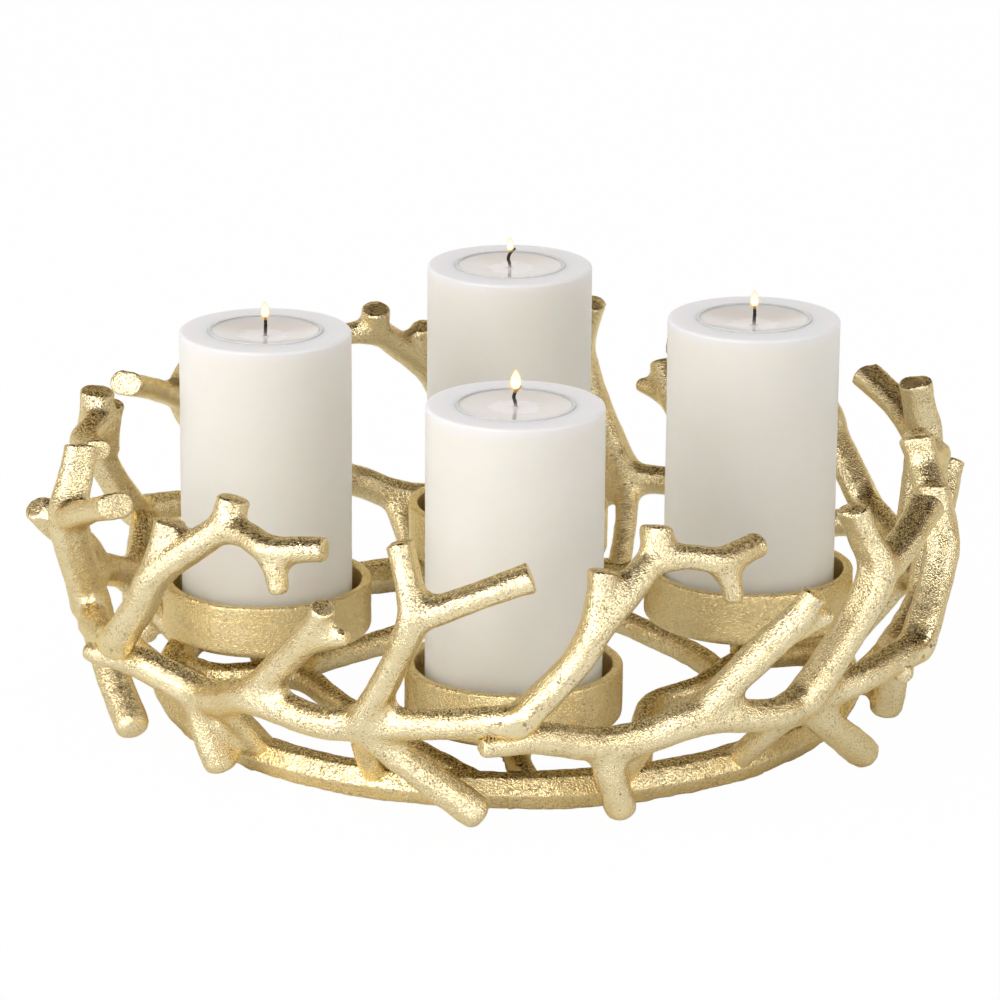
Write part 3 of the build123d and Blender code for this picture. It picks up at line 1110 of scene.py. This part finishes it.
@dataclass
class Wick:
    """Burnt wick, upright or curled over, and its flame."""

    half: float = 0.8
    tip_share: float = 0.72
    above: float = 10.5
    below: float = 12.0
    lean: float = 2.6
    curl: tuple[tuple[float, float], ...] = ((-0.3, 0.35), (0.1, 0.65), (1.0, 0.85))
    flame_half: float = 2.9
    flame_height: float = 11.5
    flame_below: float = 3.4
    flame_shares: dict[str, float] = field(
        default_factory=lambda: {"front": 1.0, "left": 0.8, "right": 0.8, "back": 0.68}
    )
    rises: tuple[float, ...] = (0.0, 0.05, 0.13, 0.24, 0.36, 0.48, 0.6, 0.72, 0.84, 0.93, 1.0)
    widths: tuple[float, ...] = (0.0, 0.5, 0.8, 0.97, 1.0, 0.95, 0.84, 0.67, 0.45, 0.24, 0.0)

    def route(self, seat: str, wax_top: float) -> list[Vector]:
        """Line of the wick of one seat.

        Args:
            seat: The seat's name.
            wax_top: Height in millimetres of the wax above the underside of the dish.

        Returns:
            Points in metres.
        """
        foot = seat_foot(seat, wax_top - self.below)
        turn = seat_foot(seat, wax_top + 1.0)
        if seat in ("front", "back"):
            moves = [Vector((across * self.lean, 0, up * self.above)) * MM for across, up in self.curl]
            return [foot, turn] + [turn + move for move in moves]
        bow = turn + Vector((0.2, 0, 0.45 * self.above)) * MM
        return [foot, turn, bow, seat_foot(seat, wax_top + self.above)]

    def build(self, seat: str, wax_top: float, tree: LimbTree, finish: Material) -> Vector:
        """Make, place and dress the wick of one seat.

        Args:
            seat: The seat's name.
            wax_top: Height in millimetres of the wax above the underside of the dish.
            tree: Tree that turns the line into a tube.
            finish: The burnt finish.

        Returns:
            The tip of the wick.
        """
        route = self.route(seat, wax_top)
        runs = len(route) - 1
        mesh = bpy.data.meshes.new(f"wick_{seat}_burnt")
        mesh.from_pydata(route, [(i, i + 1) for i in range(runs)], [])
        piece = link(f"wick_{seat}_burnt", mesh)
        store(piece, "half", [self.half * MM] * runs + [self.half * self.tip_share * MM])
        base, span = route[1].z, (self.above - 1.0) * MM
        store(piece, "rise", [(point.z - base) / span for point in route])
        tubes = piece.modifiers.new("tubes", "NODES")
        tubes.node_group = tree.tree
        strands = {"Rib Spacing": 0.00025, "Lump Scale": 1800.0, "Lump Share": 0.5, "Sides": 14}
        set_modifier_inputs(tubes, {"Finish": finish, **strands})
        freeze(piece)
        piece.data.polygons.foreach_set("use_smooth", [True] * len(piece.data.polygons))
        dress(piece, f"{seat}_tealight", Slot.WICK, f"wick_{seat}")
        return route[-1]

    def flame(self, seat: str, tip: Vector, veil: Material, core: Material) -> None:
        """Make, place and dress the veil and the core of the flame round the tip of a wick.

        Args:
            seat: The seat's name.
            tip: The wick's tip.
            veil: Finish of the outer flame.
            core: Finish of the inner flame.
        """
        size = self.flame_shares[seat]
        half, span = self.flame_half * size, self.flame_height * size
        foot = seat_foot(seat)
        foot.z = tip.z - self.flame_below * size * MM
        parts = (("veil", veil, 1.0, 0.0, 1.0), ("core", core, 0.78, 0.16, 0.93))
        for name, finish, wide, low, high in parts:
            steps = zip(self.rises, self.widths)
            line = [(half * width * wide, span * (low + (high - low) * rise)) for rise, width in steps]
            piece = turned(f"flame_{seat}_{name}", line, foot, 32)
            store(piece, "rise", [(vertex.co.z - foot.z) / (span * MM) for vertex in piece.data.vertices])
            piece.data.materials.append(finish)
            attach(piece, f"{seat}_tealight")
            LOG.info("%s on %s_tealight", piece.name, seat)


class FinishShelf:
    """All finishes of the candle holder."""

    def __init__(self) -> None:
        """Build each material once."""
        group = CastGrainGroup().build()
        self.cast = CastGold("cast_gold", (0.915, 0.805, 0.53, 1), (0.87, 0.745, 0.45, 1)).build(group)
        self.ring = CastGold(
            "ring_gold",
            (0.89, 0.77, 0.475, 1),
            (0.83, 0.69, 0.395, 1),
            grain_scale=950.0,
            roughest=0.32,
            chatter=0.6,
        ).build(group)
        self.dish = CastGold(
            "dish_gold",
            (0.91, 0.775, 0.45, 1),
            (0.87, 0.72, 0.39, 1),
            pit_share=0.4,
            grain_scale=1100.0,
            smoothest=0.22,
            roughest=0.3,
            bump_distance=0.00045,
        ).build(group)
        self.fastener = CastGold(
            "fastener_brass",
            (0.70, 0.55, 0.28, 1),
            (0.52, 0.38, 0.16, 1),
            grain_scale=1500.0,
            bump_strength=0.2,
        ).build(group)
        self.candle = self.candle_wax()
        self.clear = self.clear_cup()
        self.pool = self.tealight_wax()
        self.wick = self.burnt_wick()
        self.tab = self.tab_metal()
        self.veil = self.flame_veil()
        self.core = self.flame_core()

    def candle_wax(self) -> Material:
        """Warm white wax with a faint cloudiness, and painted light: a lilac tint in the band under the top
        edge for the glow through the translucent wax.

        Returns:
            The material.
        """
        finish = Finish("candle_wax")
        cloud = finish.noise(30.0, 3.0, 0.55)
        warm = finish.ramp(cloud, (0.3, (0.88, 0.85, 0.785, 1)), (0.7, (0.90, 0.875, 0.815, 1)))
        # Painted light: lilac tint near the top edge, standing in for light glowing through the translucent
        # wax.
        painted_top_glow = (0.875, 0.855, 0.865, 1)
        finish.set(Base_Color=finish.maker.mix(finish.maker.attribute("painted_top_light"), warm, painted_top_glow))
        finish.set(Subsurface_Weight=0.7, Subsurface_Scale=0.006, Subsurface_Radius=(1.0, 0.75, 0.6))
        finish.set(IOR=1.44, Specular_IOR_Level=0.45)
        finish.set(Roughness=finish.maker.spread(finish.noise(90.0, 3.0), 0.0, 1.0, 0.3, 0.42))
        finish.bump(finish.noise(420.0, 4.0, 0.6), 0.06, 0.0006)
        return finish.material

    def clear_cup(self) -> Material:
        """Clear moulded cup.

        Returns:
            The material.
        """
        finish = Finish("clear_cup")
        tint = finish.ramp(finish.noise(200.0), (0.3, (0.93, 0.915, 0.90, 1)), (0.7, (0.97, 0.955, 0.94, 1)))
        finish.set(Base_Color=tint, Roughness=0.12, IOR=1.45, Alpha=0.72)
        return finish.material

    def tealight_wax(self) -> Material:
        """White wax, wet on top, and paler where it melts round the wick.

        Returns:
            The material.
        """
        finish = Finish("tealight_wax")
        maker = finish.maker
        cloud = finish.noise(60.0, 3.0)
        still = finish.ramp(cloud, (0.3, (0.79, 0.745, 0.71, 1)), (0.7, (0.82, 0.775, 0.74, 1)))
        ragged = maker.plus(maker.attribute("reach"), maker.times(finish.noise(260.0), 0.5))
        melting = maker.spread(ragged, 0.72, 0.64, 0.0, 1.0)
        finish.set(Base_Color=maker.mix(melting, still, (0.89, 0.86, 0.855, 1)), Roughness=0.08)
        finish.set(Subsurface_Weight=0.5, Subsurface_Scale=0.005, Subsurface_Radius=(1.0, 0.75, 0.6))
        finish.set(IOR=1.44, Coat_Weight=0.6, Coat_Roughness=0.03)
        finish.bump(finish.noise(70.0), 0.05, 0.001)
        return finish.material

    def burnt_wick(self) -> Material:
        """Charred cotton, pale at its foot.

        Returns:
            The material.
        """
        finish = Finish("burnt_wick")
        char = finish.ramp(
            finish.maker.attribute("rise"),
            (0.0, (0.42, 0.36, 0.30, 1)),
            (0.16, (0.10, 0.08, 0.07, 1)),
            (0.4, (0.012, 0.011, 0.011, 1)),
        )
        finish.set(Base_Color=char, Roughness=0.9)
        finish.bump(finish.noise(2600.0, 3.0, 0.7), 0.8, 0.0004)
        return finish.material

    def tab_metal(self) -> Material:
        """Stamped tab with fine rolling marks.

        Returns:
            The material.
        """
        finish = Finish("tab_metal")
        marks = finish.noise(900.0, 3.0)
        shade = finish.ramp(marks, (0.3, (0.62, 0.62, 0.63, 1)), (0.7, (0.78, 0.78, 0.79, 1)))
        rough = finish.maker.spread(finish.noise(400.0), 0.0, 1.0, 0.25, 0.45)
        finish.set(Base_Color=shade, Metallic=1.0, Roughness=rough)
        return finish.material

    def flame_veil(self) -> Material:
        """Thin outer flame, orange at its foot and warm at its tip.

        Returns:
            The material.
        """
        finish = Finish("flame_veil")
        rise = finish.maker.attribute("rise")
        glow = finish.ramp(
            rise,
            (0.0, (1.0, 0.52, 0.18, 1)),
            (0.3, (1.0, 0.72, 0.36, 1)),
            (0.6, (1.0, 0.78, 0.42, 1)),
            (1.0, (1.0, 0.70, 0.30, 1)),
        )
        body = finish.ramp(
            rise,
            (0.0, (0.2, 0.2, 0.2, 1)),
            (0.35, (0.55, 0.55, 0.55, 1)),
            (1.0, (0.65, 0.65, 0.65, 1)),
        )
        finish.set(Emission_Color=glow, Emission_Strength=1.0, Alpha=body)
        finish.set(Base_Color=BLACK, Roughness=1.0, Specular_IOR_Level=0.0)
        return finish.material

    def flame_core(self) -> Material:
        """Bright inner flame.

        Returns:
            The material.
        """
        finish = Finish("flame_core")
        glow = finish.ramp(
            finish.maker.attribute("rise"),
            (0.18, (1.0, 0.72, 0.40, 1)),
            (0.38, (1.0, 0.98, 0.88, 1)),
            (0.8, (1.0, 0.96, 0.80, 1)),
        )
        finish.set(Emission_Color=glow, Emission_Strength=2.0)
        finish.set(Base_Color=BLACK, Roughness=1.0, Specular_IOR_Level=0.0)
        return finish.material


@dataclass
class Studio:
    """Camera, floor and soft light."""

    target: tuple[float, float, float] = (-4.0, 0.0, 93.46)
    distance: float = 2358.3
    elevation: float = 17.231
    roll: float = 0.4
    lens: float = 181.06
    lamps: tuple[tuple[str, tuple[float, float, float], float, float], ...] = (
        ("key", (-1.65, -1.25, 0.9), 1.4, 17.0),
        ("fill", (1.1, -1.9, 0.3), 1.2, 3.6),
        ("softbox_left", (-1.0, -1.75, 1.2), 1.5, 37.0),
        ("softbox_right", (1.6, -1.5, 1.15), 1.4, 22.5),
        ("top", (0.1, -0.2, 2.2), 1.0, 1.6),
    )
    aim: tuple[float, float, float] = (0.0, 0.0, 0.08)
    ambient: float = 0.725
    dome_low: float = 0.34
    dome_high: float = 0.04
    back_glow: float = 0.55
    dim_tint: Colour = (1.0, 0.58, 0.12, 1)
    floor_span: float = 12.0
    floor_height: float = -0.0002
    floor_glow: float = 0.98

    def camera(self) -> None:
        """Set the camera at the photograph's place."""
        data = bpy.data.cameras.new("camera")
        data.lens = self.lens
        data.sensor_width = 36.0
        data.clip_start, data.clip_end = 0.05, 60.0
        camera = bpy.data.objects.new("camera", data)
        lean = math.radians(self.elevation)
        back = Vector((0.0, -math.cos(lean), math.sin(lean)))
        camera.location = (Vector(self.target) + back * self.distance) * MM
        camera.rotation_mode = "QUATERNION"
        aim = (-back).to_track_quat("-Z", "Y")
        camera.rotation_quaternion = aim @ Quaternion((0.0, 0.0, 1.0), math.radians(self.roll))
        bpy.context.scene.collection.objects.link(camera)
        bpy.context.scene.camera = camera

    def hang(self) -> None:
        """Hang the lamps; softboxes show only in the metal, and the top and fill lamps never do."""
        for name, place, size, power in self.lamps:
            data = bpy.data.lights.new(name, "AREA")
            data.shape = "SQUARE"
            data.size = size
            data.energy = power
            lamp = bpy.data.objects.new(name, data)
            lamp.location = place
            lamp.rotation_mode = "QUATERNION"
            lamp.rotation_quaternion = (Vector(self.aim) - Vector(place)).to_track_quat("-Z", "Y")
            lamp.visible_glossy = name not in ("top", "fill")
            lamp.visible_diffuse = not name.startswith("softbox")
            bpy.context.scene.collection.objects.link(lamp)

    def light(self) -> None:
        """Fill the world: white for the camera, plain ambient light, and a dim warm dome in the metal."""
        world = bpy.data.worlds.new("studio")
        bpy.context.scene.world = world
        world.use_nodes = True
        maker = TreeMaker(world.node_tree)
        rays = maker.add("ShaderNodeLightPath").outputs
        glossy = rays["Is Glossy Ray"]
        seen = maker.most(rays["Is Camera Ray"], rays["Is Transmission Ray"])
        place = maker.add("ShaderNodeTexCoord").outputs["Generated"]
        way = maker.add("ShaderNodeSeparateXYZ", {0: place}).outputs
        low = maker.spread(way[2], 0.3, 0.6, self.back_glow, 0.0)
        back = maker.spread(way[1], 0.2, 0.8, 0.0, 1.0)
        dome = maker.spread(way[2], 0.35, 0.8, self.dome_low, self.dome_high)
        front = maker.plus(maker.times(low, back), dome)
        ambient = maker.times(maker.less(1.0, maker.most(seen, glossy)), self.ambient)
        strength = maker.plus(maker.most(seen, maker.times(glossy, front)), ambient)
        dim = maker.times(glossy, maker.less(1.0, front))
        background = world.node_tree.nodes["Background"].inputs
        maker.feed(background["Color"], maker.mix(dim, WHITE, self.dim_tint))
        maker.feed(background["Strength"], strength)

    def floor(self) -> None:
        """Lay a pale floor that keeps a light shadow."""
        mesh = bpy.data.meshes.new("floor")
        span, low = self.floor_span, self.floor_height
        corners = [(-span, -span, low), (span, -span, low), (span, span, low), (-span, span, low)]
        mesh.from_pydata(corners, [], [(0, 1, 2, 3)])
        floor = link("floor", mesh)
        finish = Finish("floor_white")
        finish.set(Base_Color=(0.95, 0.95, 0.95, 1), Roughness=0.9, Specular_IOR_Level=0.1)
        maker = finish.maker
        rays = maker.add("ShaderNodeLightPath").outputs
        seen = maker.most(rays["Is Camera Ray"], rays["Is Transmission Ray"])
        glow = maker.out("ShaderNodeEmission", {"Color": WHITE, "Strength": 1.0})
        layers = {0: maker.times(seen, self.floor_glow), 1: finish.shader.outputs[0], 2: glow}
        surface = finish.material.node_tree.nodes["Material Output"].inputs["Surface"]
        maker.feed(surface, maker.out("ShaderNodeMixShader", layers))
        mesh.materials.append(finish.material)


def carry_over(shelf: FinishShelf) -> None:
    """Give the CAD nodes that stay their finishes.

    Args:
        shelf: The finishes.
    """
    finishes = {node: shelf.fastener for node in ("cup_bolts", "cup_washers", "cup_nuts")}
    finishes.update({f"wick_tab_{seat}": shelf.tab for seat in SEATS})
    for node, finish in finishes.items():
        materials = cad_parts[node].data.materials
        materials.clear()
        materials.append(finish)


def main() -> None:
    """Build the candle holder's looks in order."""
    logging.basicConfig(level=logging.INFO, format="%(name)s %(message)s")
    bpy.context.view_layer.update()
    bpy.context.scene.view_settings.view_transform = "Standard"
    shelf = FinishShelf()
    foundry = Foundry(LimbTree(), CastSkinTree())
    BranchWreath().build(foundry, shelf.cast)
    BaseRing().build(foundry, shelf.ring)
    DishArms().build(foundry, shelf.ring)
    dish, candle, wick = Dish(), LastingCandle(), Wick()
    for seat in SEATS:
        dish.build(seat, shelf.dish)
        candle.block(seat, shelf.candle)
        candle.tealight(seat, shelf.clear, shelf.pool)
        tip = wick.build(seat, candle.wax_top(seat), foundry.limb_tree, shelf.wick)
        wick.flame(seat, tip, shelf.veil, shelf.core)
    carry_over(shelf)
    studio = Studio()
    studio.floor()
    studio.hang()
    studio.light()
    studio.camera()


if __name__ == "__main__":
    main()
